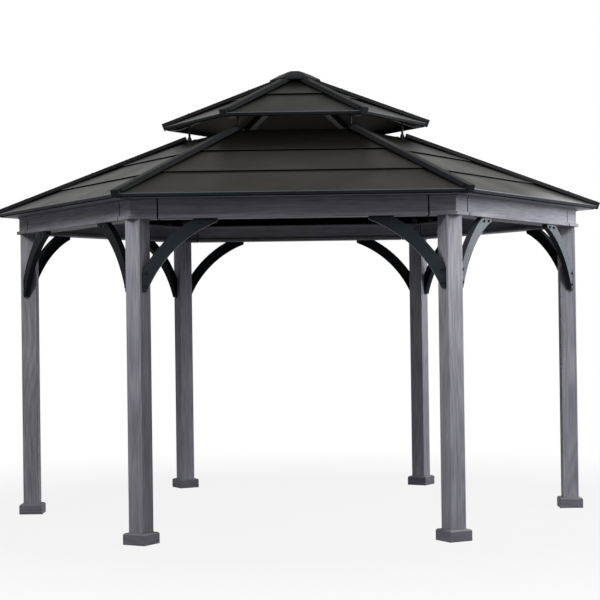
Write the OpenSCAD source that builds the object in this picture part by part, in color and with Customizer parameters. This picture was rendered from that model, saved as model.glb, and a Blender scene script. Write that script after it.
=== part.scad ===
// Six-sided garden gazebo: square posts on collars, a built-up beam ring, curved channel
// braces and a two-tier hip roof of lapped steel courses.
// Millimetres, +Z up. Origin on the ground at the centre of the plan, a post on +X, open bay to -Y.

/* [Plan] */
// Radius of the circle through the post centres, also the length of one side
post_ring_r = 2055; // [1500:5:2600]

/* [Posts] */
// Width of the square post
post_w = 118; // [90:1:150]
// Height of the post, which is the underside of the beam ring
post_h = 2134; // [1900:1:2500]
// Width of the collar round the foot of the post
base_w = 174; // [155:1:220]
// Height of the collar
base_h = 76; // [40:1:150]
// Chamfer round the top of the collar
base_chamfer = 9; // [2:1:18]
// Clearance between the collar and the post
base_clear = 0.2; // [0.1:0.1:0.4]

/* [Beam ring] */
// Half width of the bottom plate about the line of the posts
plate_half = 83; // [75:1:110]
// Thickness of the bottom plate
plate_t = 24; // [15:1:40]
// Half width of the boxed core about the line of the posts
core_half = 67; // [45:1:72]
// Height of the boxed core
core_h = 94; // [60:1:180]
// Overhang of the top plate beyond the line of the posts, outside
crown_out = 74; // [73:1:150]
// Thickness of the top plate
crown_t = 16; // [10:1:40]
// Length of a corner block along each side, from its outer core corner
corner_leg = 175; // [150:1:260]
// Shadow gap between a corner block and a beam
joint_gap = 7; // [3:1:12]
// Set-back of the tongue that closes the shadow gap
tongue_inset = 14; // [8:1:30]

/* [Braces] */
// Reach of a brace along the beam
brace_reach = 502; // [400:1:620]
// Length by which the foot of a brace falls short of its reach
brace_foot_cut = 25; // [0:1:60]
// Width of the blunt tip at each end
brace_tip = 22; // [10:1:40]
// Bow of the lower edge from a straight line between the tips
brace_bow = 74; // [30:1:110]
// Width of the curved band
brace_band = 84; // [60:1:110]
// Depth of the channel
brace_depth = 40; // [25:1:60]
// Outer face of the brace from the line of the posts
brace_out = 65; // [50:1:78]
// Sheet thickness of the channel
brace_t = 5; // [3:1:8]
// Solid length of the brace at each seat
brace_heel = 32; // [28:1:60]

/* [Main roof] */
// Rise of the hip per unit of run
hip_slope = 0.3748; // [0.3:0.0002:0.45]
// Overhang of the eave corner beyond the post centre
eave_over = 251; // [200:1:400]
// Height of the roof surface at the eave above the beam ring
eave_rise = 25; // [20:1:120]
// Depth of the eave below the roof surface
trim_h = 25; // [18:1:40]
// Thickness of the eave trim
trim_t = 7; // [4:1:12]
// Width of the trim leg under the roof sheet
trim_leg = 44; // [25:1:46]
// Extra run of the top course over the others
top_extra = 46; // [0:1:120]
// Step at the lap between two courses
lap_step = 13; // [8:1:18]
// Length of the lap between two courses
lap_run = 34; // [20:1:60]
// Thickness of the roof sheet
sheet_t = 4; // [2:0.5:6]
// Half gap between two roof faces under the hip cap
hip_gap = 8; // [4:1:14]

/* [Hip caps] */
// Height of the cap above the roof surface along the hip
cap_rise = 26; // [20:1:45]
// Half width of the top of the cap
cap_top_half = 27; // [18:1:32]
// Half width of the foot of the cap
cap_foot_half = 43; // [36:1:60]
// Sheet thickness of the cap
cap_t = 4; // [2:0.5:6]
// Half width of the hood that closes the cap at the eave
hood_half = 28; // [26:1:50]
// Depth of the hood along the hip
hood_depth = 44; // [16:1:56]
// Length of the cap inside the hood
hood_lap = 4; // [2:1:12]
// Drop of the hood below the roof surface
hood_drop = 28; // [24:1:50]
// Clearance between the hood and the eave trim
hood_clear = 0.3; // [0.2:0.1:1]

/* [Frame under the roof] */
// Width of a hip rafter
rafter_w = 50; // [40:1:70]
// Depth of a hip rafter of the main roof
rafter_h = 75; // [60:1:100]
// Depth of a hip rafter of the upper roof
upper_rafter_h = 50; // [35:1:70]
// Length of the main rafters past the stanchions, into the opening
rafter_past = 45; // [30:1:90]
// Depth of the bars round the opening
ring_h = 60; // [40:1:75]
// Width of the bars round the opening
ring_w = 34; // [20:1:50]
// Radius of the circle of stanchions
stanchion_r = 815; // [790:1:860]
// Clearance between the foot of a stanchion and the roof round it
stanchion_clear = 4; // [2:1:10]
// Diameter of a stanchion
stanchion_d = 18; // [12:1:30]
// Diameter of the foot of a stanchion
stanchion_foot_d = 34; // [26:1:44]
// Height of the foot of a stanchion
stanchion_foot_h = 26; // [12:1:40]

/* [Upper roof] */
// Overhang of the upper eave corner beyond the stanchions
upper_over = 203; // [150:1:320]
// Height of the upper roof surface above the main one
vent_rise = 166; // [150:1:320]
// Extra run of the lower course over the one that shows above it
upper_low_extra = 120; // [0:1:200]
// Radius of the hub that joins the upper rafters
hub_r = 84; // [60:1:105]
// Depth of the hub
hub_h = 110; // [80:1:160]

/* [Finial cap] */
// Radius of the rim
finial_r = 196; // [170:1:240]
// Radius of the flat top
finial_top_r = 52; // [30:1:80]
// Height from rim to top
finial_h = 78; // [50:1:110]
// Height of the upright rim
finial_rim = 14; // [6:1:24]
// Share of the rise that the lower slope of the dome takes
finial_dome = 0.56; // [0.5:0.01:0.8]
// Wall of the cap
finial_t = 6; // [3:1:10]

/* [Hidden] */
sides = 6;
course_n = 3;
half_side = 180 / sides;
across = cos(half_side);
face_slope = hip_slope / across;
side_fall = hip_slope * tan(half_side);
post_line = post_ring_r * across;
core_z = post_h + plate_t;
crown_z = core_z + core_h;
beam_top = crown_z + crown_t;
joint_s = (post_line + core_half) * tan(half_side) - corner_leg;
beam_half = joint_s - joint_gap;
eave_r = post_ring_r + eave_over;
eave_z = beam_top + eave_rise;
far = 2 * eave_r;
eave_a = eave_r * across;
rafter_in_r = stanchion_r - rafter_past;
opening_r = stanchion_r + stanchion_foot_d / 2 + stanchion_clear;
opening_a = opening_r * across;
apex_z = eave_z + hip_slope * eave_r;
upper_eave_r = stanchion_r + upper_over;
upper_eave_a = upper_eave_r * across;
upper_eave_z = apex_z - hip_slope * upper_eave_r + vent_rise;
upper_apex_z = upper_eave_z + hip_slope * upper_eave_r;
sheet_v = sheet_t * sqrt(1 + face_slope * face_slope);
rafter_drop = lap_step + sheet_v + side_fall * rafter_w / 2;
upper_end_a = (hub_r + rafter_w) * across;
course_run = (eave_a - opening_a - top_extra) / course_n;
seam_1 = eave_a - course_run;
seam_2 = seam_1 - course_run;
upper_seam = (upper_eave_a + upper_end_a - upper_low_extra) / 2;
cap_foot_drop = side_fall * cap_foot_half;
cap_stop = hood_depth - hood_lap;
hip_tilt = atan(hip_slope);
rafter_clear = 2;
rafter_stop = max((trim_leg + trim_t) / across, hood_depth) + rafter_clear;
rafter_out_r = eave_r - rafter_stop;
upper_rafter_out_r = upper_eave_r - rafter_stop;
finial_z = upper_apex_z + cap_rise - hip_slope * finial_r;
upper_cap_in_r = hub_r + rafter_w;
brace_chord = (brace_reach - brace_tip) * sqrt(2);
brace_r = (brace_chord * brace_chord / 4 + brace_bow * brace_bow) / (2 * brace_bow);
arc_centre = (brace_reach + brace_tip) / 2 + (brace_r - brace_bow) * cos(45);
brace_drop = brace_reach - brace_foot_cut;

// Node to build, or "all"

// Height of a roof surface at a distance from the centre, measured square to the eave
function roof_z(top, a) = top - face_slope * a;
// Height of a course, whose upper end dips by one lap step under the course above
function course_z(top, a, low, high) = roof_z(top, a) - lap_step * (high - a) / (high - low);

// Child 2D profile, drawn as (distance out, height), run along one side of the plan
module along_side(length) {
    translate([length / 2, 0, 0]) rotate([90, 0, -90]) linear_extrude(length) children();
}

// Part of the plan that belongs to the side facing -Y, kept clear of both hip lines
module sector(gap) {
    tip = gap / sin(half_side);
    linear_extrude(2 * far, center = true)
        polygon([[0, -tip], [far * tan(half_side), -tip - far], [-far * tan(half_side), -tip - far]]);
}

// Child turned to every side of the plan
module each_side() {
    for (i = [0 : sides - 1]) rotate([0, 0, i * 360 / sides]) children();
}

// Hexagonal band between two distances from the centre
module hex_band(outer, inner) {
    difference() {
        circle(r = outer / across, $fn = sides);
        circle(r = inner / across, $fn = sides);
    }
}

module post() {
    color("#77777b") translate([post_ring_r - post_w / 2, -post_w / 2, 0]) cube([post_w, post_w, post_h]);
}

// Collar with a chamfered top, open for the post
module base() {
    module half() {
        rotate([90, 0, 0]) linear_extrude(base_w, center = true) polygon([
            [-base_w / 2, 0], [base_w / 2, 0], [base_w / 2, base_h - base_chamfer],
            [base_w / 2 - base_chamfer, base_h], [base_chamfer - base_w / 2, base_h],
            [-base_w / 2, base_h - base_chamfer]]);
    }
    hole = post_w + 2 * base_clear;
    color("#55555a") translate([post_ring_r, 0, 0]) difference() {
        intersection() {
            half();
            rotate([0, 0, 90]) half();
        }
        translate([-hole / 2, -hole / 2, -base_h]) cube([hole, hole, 3 * base_h]);
    }
}

// V-shaped block over the post on +X, with a tongue that meets the beams
module corner() {
    module reach(s) {
        intersection() {
            children();
            polygon([[2 * s, 0], [2 * s + far * across, -far / 2], [2 * s + far * across, far / 2]]);
        }
    }
    color("#6b6b70") {
        translate([0, 0, post_h]) linear_extrude(plate_t)
            reach(joint_s) hex_band(post_line + plate_half, post_line - plate_half);
        translate([0, 0, core_z]) linear_extrude(core_h)
            reach(joint_s) hex_band(post_line + core_half, post_line - core_half);
        translate([0, 0, crown_z]) linear_extrude(crown_t)
            reach(joint_s) hex_band(post_line + crown_out, post_line - plate_half);
        translate([0, 0, post_h + tongue_inset]) linear_extrude(beam_top - post_h - 2 * tongue_inset)
            reach(beam_half)
                hex_band(post_line + core_half - tongue_inset, post_line - core_half + tongue_inset);
    }
}

// Straight beam on the side facing -Y
module beam() {
    color("#6f6f74") along_side(2 * beam_half) polygon([
        [post_line - plate_half, post_h], [post_line + plate_half, post_h],
        [post_line + plate_half, core_z], [post_line + core_half, core_z],
        [post_line + core_half, crown_z], [post_line + crown_out, crown_z],
        [post_line + crown_out, beam_top], [post_line - plate_half, beam_top],
        [post_line - plate_half, crown_z], [post_line - core_half, crown_z],
        [post_line - core_half, core_z], [post_line - plate_half, core_z]]);
}

// Curved channel at the left end of the bay facing -Y: sheet face outside, open inside
module brace() {
    face_x = -post_ring_r / 2 + (post_w / 2 - brace_out * sin(half_side)) / across;
    module band(edge) {
        intersection() {
            translate([arc_centre, -arc_centre]) difference() {
                circle(r = brace_r + brace_band - edge, $fn = 180);
                circle(r = brace_r + edge, $fn = 180);
            }
            children();
        }
    }
    color("#39424a") difference() {
        translate([face_x, -post_line - brace_out + brace_depth, post_h]) rotate([90, 0, 0]) difference() {
            linear_extrude(brace_depth) band(0)
                translate([-brace_heel, -brace_drop]) square([brace_reach + brace_heel, brace_drop]);
            translate([0, 0, -brace_t]) linear_extrude(brace_depth) band(brace_t)
                translate([brace_heel, -brace_drop + brace_t])
                    square([brace_reach - brace_heel - brace_t, brace_drop - 2 * brace_t]);
        }
        rotate([0, 0, -180 + 2 * half_side]) translate([post_ring_r - post_w, -post_w / 2, 0])
            cube([2 * post_w, post_w, post_h + plate_t]);
    }
}

// Both braces of the bay facing -Y
module brace_pair() {
    brace();
    mirror([1, 0, 0]) brace();
}

// Rafter along the hip on +X: top edges under the roof sheets, level foot from heel_r outwards
module rafter(top, out_r, in_r, depth, heel_r, foot_z) {
    z = top - rafter_drop;
    translate([0, rafter_w / 2, 0]) rotate([90, 0, 0]) linear_extrude(rafter_w) polygon([
        [in_r, z - hip_slope * in_r], [in_r, z - hip_slope * in_r - depth],
        [heel_r, z - hip_slope * heel_r - depth], [heel_r, foot_z], [out_r, foot_z],
        [out_r, z - hip_slope * out_r]]);
}

module main_rafter() {
    rafter(apex_z, rafter_out_r, rafter_in_r, rafter_h, post_ring_r - post_w / 2, beam_top);
}

module upper_rafter() {
    foot_z = upper_eave_z - trim_h;
    heel_r = (upper_apex_z - rafter_drop - upper_rafter_h - foot_z) / hip_slope - 1;
    rafter(upper_apex_z, upper_rafter_out_r, hub_r * across, upper_rafter_h, heel_r, foot_z);
}

module hip_rafters() {
    color("#26292c") each_side() main_rafter();
}

module upper_rafters() {
    color("#26292c") each_side() difference() {
        upper_rafter();
        rotate([0, 0, half_side]) cylinder(r = hub_r / across, h = 2 * far, $fn = sides);
    }
}

// Bars between the rafters round the opening of the main roof
module opening_bars() {
    z = course_z(apex_z, opening_a + ring_w, opening_a, seam_2) - sheet_v;
    color("#26292c") each_side() intersection() {
        along_side(far) translate([opening_a, z - ring_h]) square([ring_w, ring_h]);
        sector(rafter_w / 2);
    }
}

// Angle trim under and in front of the lowest course; its face leans in, square to the roof
module trim(top, edge) {
    leg = edge - trim_t - trim_leg;
    front = edge - trim_t;
    low = roof_z(top, edge) - trim_h;
    lean = face_slope * trim_h;
    under_leg = roof_z(top, leg) - sheet_v - lap_step * (front - leg) / course_run;
    under_front = roof_z(top, front) - sheet_v;
    color("#2b3036") each_side() difference() {
        intersection() {
            along_side(far) polygon([
                [edge - lean, low], [edge, roof_z(top, edge) + trim_t / 4], [front, roof_z(top, front)],
                [front, under_front], [leg, under_leg], [leg, under_leg - sheet_v],
                [front - trim_t, under_front - sheet_v], [front - trim_t - lean, low]]);
            sector(hip_gap / 2);
        }
        hood_rooms(top, edge);
    }
}

// Lowest course of a roof on every side, notched at both ends for the hoods
module first_course(top, low, edge) {
    high = edge - trim_t;
    color("#4a4844") each_side() difference() {
        intersection() {
            along_side(far) polygon([
                [low, course_z(top, low, low, high)], [high, course_z(top, high, low, high)],
                [high, course_z(top, high, low, high) - sheet_v],
                [low, course_z(top, low, low, high) - sheet_v]]);
            sector(hip_gap);
        }
        hood_rooms(top, edge);
    }
}

// Further course of a roof on every side; its lower edge is folded down onto the course below
module course(top, low, high, fold_low, fold_high) {
    t = 2 * sheet_t;
    color("#4a4844") each_side() intersection() {
        along_side(far) polygon([
            [low, course_z(top, low, low, high)], [high, course_z(top, high, low, high)],
            [high, course_z(top, high, fold_low, fold_high)],
            [high - t, course_z(top, high - t, fold_low, fold_high)],
            [high - t, course_z(top, high - t, low, high) - sheet_v],
            [low, course_z(top, low, low, high) - sheet_v]]);
        sector(hip_gap);
    }
}

// Child laid along the hip on +X from radius r: its x across the hip, y square to the slope, z downhill
module on_hip(top, r) {
    translate([0, 0, top]) rotate([90, 0, 90]) rotate([hip_tilt, 0, 0])
        translate([0, 0, r / cos(hip_tilt)]) children();
}

// Room that the two hoods take at the ends of the side facing -Y, whose eave is at distance edge
module hood_rooms(top, edge) {
    half = hood_half + hood_clear;
    for (turn = [-90 - half_side, half_side - 90])
        rotate([0, 0, turn]) on_hip(top, edge / across - hood_depth)
            translate([-half, -2 * hood_drop, -hood_clear]) cube([2 * half, 4 * hood_drop, 4 * hood_depth]);
}

// Raised cap along every hip, closed at the eave by a hood that is open below
module hip_cap(top, in_r, out_r) {
    rise = cap_rise * cos(hip_tilt);
    foot = -cap_foot_drop * cos(hip_tilt);
    hood_r = out_r - hood_depth;
    hood_end = hood_depth / cos(hip_tilt);
    color("#2f353b") each_side() union() {
        on_hip(top, in_r) linear_extrude((out_r - cap_stop - in_r) / cos(hip_tilt)) polygon([
            [-cap_foot_half, foot], [-cap_top_half, rise], [cap_top_half, rise], [cap_foot_half, foot],
            [cap_foot_half - cap_t, foot], [cap_top_half - cap_t, rise - cap_t],
            [cap_t - cap_top_half, rise - cap_t], [cap_t - cap_foot_half, foot]]);
        on_hip(top, hood_r) difference() {
            translate([-hood_half, -hood_drop, 0]) cube([2 * hood_half, hood_drop + rise, hood_end]);
            translate([cap_t - hood_half, -2 * hood_drop, -hood_end])
                cube([2 * (hood_half - cap_t), 2 * hood_drop + rise - cap_t, 2 * hood_end - cap_t]);
        }
    }
}

// Upright rod on each rafter, with a foot, that carries the upper roof
module stanchions() {
    rod_r = stanchion_d / 2;
    low = apex_z - rafter_drop - hip_slope * (stanchion_r + stanchion_foot_d / 2);
    high = upper_apex_z - rafter_drop - upper_rafter_h - hip_slope * (stanchion_r - rod_r);
    color("#3a4046") each_side() translate([stanchion_r, 0, 0]) difference() {
        union() {
            translate([0, 0, low]) cylinder(r = rod_r, h = high - low, $fn = 48);
            translate([0, 0, low]) cylinder(d = stanchion_foot_d, h = stanchion_foot_h, $fn = 48);
        }
        translate([-stanchion_r, 0, 0]) main_rafter();
        translate([-stanchion_r, 0, 0]) upper_rafter();
    }
}

// Block that the upper rafters butt against
module hub() {
    top = roof_z(upper_apex_z, upper_end_a) - sheet_v;
    color("#26292c") translate([0, 0, top - hub_h])
        rotate([0, 0, half_side]) cylinder(r = hub_r / across, h = hub_h, $fn = sides);
}

// Hollow six-sided cap, domed in two slopes, that sits on the upper hip caps
module finial_cap() {
    mid_r = (finial_r + finial_top_r) / 2;
    mid_z = finial_rim + (finial_h - finial_rim) * finial_dome;
    module dome(inset, low) {
        rim_z = finial_rim - inset / 2;
        translate([0, 0, low]) cylinder(r = finial_r - inset, h = rim_z - low, $fn = sides);
        translate([0, 0, rim_z])
            cylinder(r1 = finial_r - inset, r2 = mid_r - inset, h = mid_z - inset - rim_z, $fn = sides);
        translate([0, 0, mid_z - inset])
            cylinder(r1 = mid_r - inset, r2 = finial_top_r - inset, h = finial_h - mid_z, $fn = sides);
    }
    color("#2f353b") translate([0, 0, finial_z]) difference() {
        dome(0, 0);
        dome(finial_t, -finial_t);
    }
}

// Turn from the side facing -Y, or the corner on +X, to number i
module at_corner(i) { rotate([0, 0, (i - 1) * 60]) children(); }

at_corner(1) post();  // post_1
at_corner(2) post();  // post_2
at_corner(3) post();  // post_3
at_corner(4) post();  // post_4
at_corner(5) post();  // post_5
at_corner(6) post();  // post_6
at_corner(1) base();  // base_1
at_corner(2) base();  // base_2
at_corner(3) base();  // base_3
at_corner(4) base();  // base_4
at_corner(5) base();  // base_5
at_corner(6) base();  // base_6
at_corner(1) corner();  // corner_1
at_corner(2) corner();  // corner_2
at_corner(3) corner();  // corner_3
at_corner(4) corner();  // corner_4
at_corner(5) corner();  // corner_5
at_corner(6) corner();  // corner_6
at_corner(1) beam();  // beam_1
at_corner(2) beam();  // beam_2
at_corner(3) beam();  // beam_3
at_corner(4) beam();  // beam_4
at_corner(5) beam();  // beam_5
at_corner(6) beam();  // beam_6
at_corner(1) brace_pair();  // braces_1
at_corner(2) brace_pair();  // braces_2
at_corner(3) brace_pair();  // braces_3
at_corner(4) brace_pair();  // braces_4
at_corner(5) brace_pair();  // braces_5
at_corner(6) brace_pair();  // braces_6
hip_rafters();
opening_bars();
trim(apex_z, eave_a);  // eave_trim
first_course(apex_z, seam_1 - lap_run, eave_a);  // course_low
course(apex_z, seam_2 - lap_run, seam_1, seam_1 - lap_run, eave_a - trim_t);  // course_mid
course(apex_z, opening_a, seam_2, seam_2 - lap_run, seam_1);  // course_top
hip_cap(apex_z, opening_r, eave_r);  // hip_caps
stanchions();
hub();
upper_rafters();
trim(upper_apex_z, upper_eave_a);  // upper_trim
first_course(upper_apex_z, upper_seam - lap_run, upper_eave_a);  // upper_course_low
course(upper_apex_z, upper_end_a, upper_seam, upper_seam - lap_run, upper_eave_a - trim_t);  // upper_course_top
hip_cap(upper_apex_z, upper_cap_in_r, upper_eave_r);  // upper_hip_caps
finial_cap();
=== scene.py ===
"""Six-sided garden gazebo: the looks of every piece, in metres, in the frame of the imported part.

Names end in _R for a radius or a distance from the centre to a corner, _A for one from the centre
to a side, _T for a thickness, _W for a width, _D for a diameter, _H for a height and _Z for a level.
"""
import math
import random

import bmesh
import bpy
from mathutils import Matrix, Vector


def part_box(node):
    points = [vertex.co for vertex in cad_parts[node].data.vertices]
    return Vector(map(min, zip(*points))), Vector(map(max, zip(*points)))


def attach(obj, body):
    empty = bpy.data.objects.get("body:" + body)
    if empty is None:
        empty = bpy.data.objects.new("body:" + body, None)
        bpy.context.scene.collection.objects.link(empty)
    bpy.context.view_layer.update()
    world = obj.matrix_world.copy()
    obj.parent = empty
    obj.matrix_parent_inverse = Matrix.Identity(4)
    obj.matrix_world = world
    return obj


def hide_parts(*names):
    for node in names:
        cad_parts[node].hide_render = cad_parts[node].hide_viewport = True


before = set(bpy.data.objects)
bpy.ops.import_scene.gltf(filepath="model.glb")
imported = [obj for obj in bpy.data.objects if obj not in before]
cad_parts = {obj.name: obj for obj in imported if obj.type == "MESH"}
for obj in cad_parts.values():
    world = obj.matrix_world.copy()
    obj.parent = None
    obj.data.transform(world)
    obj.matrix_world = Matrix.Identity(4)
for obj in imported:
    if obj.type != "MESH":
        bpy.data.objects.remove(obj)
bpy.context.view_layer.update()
chance = random.Random(6)

# Plan of the gazebo: six corners with a post each, six sides with a beam each, side 0 faces the camera
SIDES = 6
STEP_DEGREES = 360 // SIDES
HALF_CIRCLE = 180
TURN = math.tau / SIDES
HALF_TURN = TURN / 2
ACROSS = math.cos(HALF_TURN)

# Sizes read from the solids
post_low, post_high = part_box("post_1")
collar_low, collar_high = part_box("base_1")
beam_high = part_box("beam_1")[1]
POST_R = (post_low[0] + post_high[0]) / 2
POST_W = post_high[0] - post_low[0]
POST_H = post_high[2]
POST_LINE = POST_R * ACROSS
COLLAR_W = collar_high[0] - collar_low[0]
COLLAR_H = collar_high[2]
BEAM_HALF = beam_high[0]
BEAM_TOP = beam_high[2]
PLATE_HALF = POST_LINE + beam_high[1]
EAVE_A = -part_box("eave_trim")[0][1]
SEAM_1 = -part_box("course_mid")[0][1]
SEAM_2 = -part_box("course_top")[0][1]
UPPER_EAVE_A = -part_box("upper_trim")[0][1]
UPPER_SEAM = -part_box("upper_course_top")[0][1]
FINIAL_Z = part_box("finial_cap")[0][2]

# Wooden frame
COLLAR_CHAMFER = 0.009
COLLAR_CLEAR = 0.0002
COLLAR_EASE = 0.003
POST_EASE = 0.005
WOOD_EASE = 0.0035
PLATE_T = 0.024
CORE_HALF = 0.067
CROWN_OUT = 0.074
CROWN_T = 0.016
JOINT_GAP = 0.007
TONGUE_INSET = 0.014
CORE_Z = POST_H + PLATE_T
CROWN_Z = BEAM_TOP - CROWN_T
JOINT_S = BEAM_HALF + JOINT_GAP
CORNER_LEG_ROUGH = 0.4
EAVE_BOARD_T = 0.008
EAVE_BOARD_LAP = 0.03
EAVE_BOARD_CLEAR = 0.002
EAVE_BOARD_GAP = 0.03
EAVE_BOARD_EASE = 0.001

# Knee braces and their bolts
BRACE_REACH = 0.502
BRACE_FOOT_CUT = 0.025
BRACE_TIP = 0.022
BRACE_BOW = 0.074
BRACE_BAND = 0.084
BRACE_DEPTH = 0.040
BRACE_OUT = 0.065
BRACE_T = 0.005
BEND_START = math.radians(-12)
BEND_SWEEP = math.radians(66)
BEND_STEPS = 44
POCKET_END = math.radians(153)
TIP_ROUND = 0.009
FOOT_ROUND = 0.005
WEB_EASE = 0.0025
TIP_BOLTS = ((0.050, 0.021), (0.125, 0.024))
FOOT_BOLTS = ((0.027, 0.355), (0.026, 0.440))
WASHER_R = 0.0115
WASHER_TOP_R = WASHER_R * 0.93
WASHER_T = 0.002
WASHER_STEPS = 24
BOLT_R = 0.0085
BOLT_TOP_R = BOLT_R * 0.9
BOLT_H = 0.006
BOLT_SIDES = 6

# Roof
HIP_SLOPE = 0.3748
FACE_SLOPE = HIP_SLOPE / ACROSS
HIP_TILT = math.atan(HIP_SLOPE)
SHEET_T = 0.004
SHEET_V = SHEET_T * math.sqrt(1 + FACE_SLOPE ** 2)
LAP_STEP = 0.013
LAP_RUN = 0.034
FOLD_ROUND = 0.003
HIP_GAP = 0.008
TRIM_H = 0.025
TRIM_T = 0.007
TRIM_LEG = 0.044
TRIM_LIP = TRIM_T / 4
TRIM_LEAN = FACE_SLOPE * TRIM_H
TRIM_EDGE_ROUND = 0.0045
TRIM_TOE_ROUND = 0.005
EAVE_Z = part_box("eave_trim")[0][2] + TRIM_H
APEX_Z = EAVE_Z + FACE_SLOPE * EAVE_A
OPENING_R = 0.836
OPENING_A = OPENING_R * ACROSS
UPPER_EAVE_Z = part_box("upper_trim")[0][2] + TRIM_H
UPPER_APEX_Z = UPPER_EAVE_Z + FACE_SLOPE * UPPER_EAVE_A
UPPER_END_A = 0.116
CAP_H = 0.026
CAP_RISE = CAP_H * math.cos(HIP_TILT)
CAP_TOP_HALF = 0.027
CAP_FOOT_HALF = 0.043
CAP_T = 0.004
CAP_BEND = 0.006
# Level in the cap's frame below which its sides carry painted shade
CAP_SHADE_LINE = -0.003
HOOD_HALF = 0.028
HOOD_DROP = 0.028
HOOD_DEPTH = 0.044
HOOD_LAP = 0.004
HOOD_BEND = 0.004
HOOD_CLEAR = 0.0003
TRIM_GAP = HOOD_HALF + HOOD_CLEAR
CAP_SCREWS = (2.069, 1.556)
UPPER_CAP_SCREWS = (0.812, 0.349)
SCREW_WASHER_R = 0.010
SCREW_WASHER_TOP_R = 0.009
SCREW_WASHER_T = 0.002
SCREW_R = 0.007
SCREW_TOP_R = 0.0035
SCREW_H = 0.0035
SCREW_STEPS = 16
FINIAL_R = 0.196
FINIAL_TOP_R = 0.052
FINIAL_H = 0.078
FINIAL_RIM = 0.014
FINIAL_DOME = 0.56
FINIAL_T = 0.006
FINIAL_EASE = 0.005
STANCHION_R = 0.815
STANCHION_D = 0.018
STANCHION_HEAD_DROP = 0.05
STANCHION_SPARE = 0.034
STANCHION_STEPS = 24
STANCHION_FOOT_D = 0.034
STANCHION_FOOT_H = 0.026
STANCHION_FOOT_EDGE = STANCHION_FOOT_H * 0.75
STANCHION_FOOT_END = STANCHION_FOOT_H * 1.4
RAFTER_W = 0.050
RAFTER_DROP = LAP_STEP + SHEET_V + HIP_SLOPE * math.sin(HALF_TURN) / ACROSS * RAFTER_W / 2

# Camera of the photograph: place in metres, turn in degrees, field as a focal length on a 36 mm square
CAMERA_PLACE = (0.17397, -12.67203, 1.50479)
CAMERA_YAW = -0.71829
CAMERA_PITCH = 0.45141
CAMERA_ROLL = -0.77059
CAMERA_LENS = 99.351
CAMERA_SQUARE = 36
CAMERA_REACH = 200

# How close counts as the same, how squarely a picked face looks one way, and the bend that shades as sharp
TINY = 1e-6
SAME = 1e-5
NEAR = 1e-4
SQUARELY = 0.99
MOSTLY = 0.9
PARTLY = 0.5
SHARP_BEND = math.radians(50)


def aim_camera():
    """Camera at the place found from the photograph."""
    yaw, pitch, roll = (math.radians(v) for v in (CAMERA_YAW, CAMERA_PITCH, CAMERA_ROLL))
    ahead = Vector((math.sin(yaw) * math.cos(pitch), math.cos(yaw) * math.cos(pitch), math.sin(pitch)))
    level = Vector((math.cos(yaw), -math.sin(yaw), 0))
    upright = level.cross(ahead)
    right = math.cos(roll) * level + math.sin(roll) * upright
    up = math.cos(roll) * upright - math.sin(roll) * level
    data = bpy.data.cameras.new("photo_camera")
    data.sensor_fit = "HORIZONTAL"
    data.sensor_width = CAMERA_SQUARE
    data.lens = CAMERA_LENS
    data.clip_end = CAMERA_REACH
    camera = bpy.data.objects.new("photo_camera", data)
    turn = Matrix((right, up, -ahead)).transposed().to_4x4()
    camera.matrix_world = Matrix.Translation(CAMERA_PLACE) @ turn
    bpy.context.collection.objects.link(camera)
    bpy.context.scene.camera = camera


aim_camera()


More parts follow.
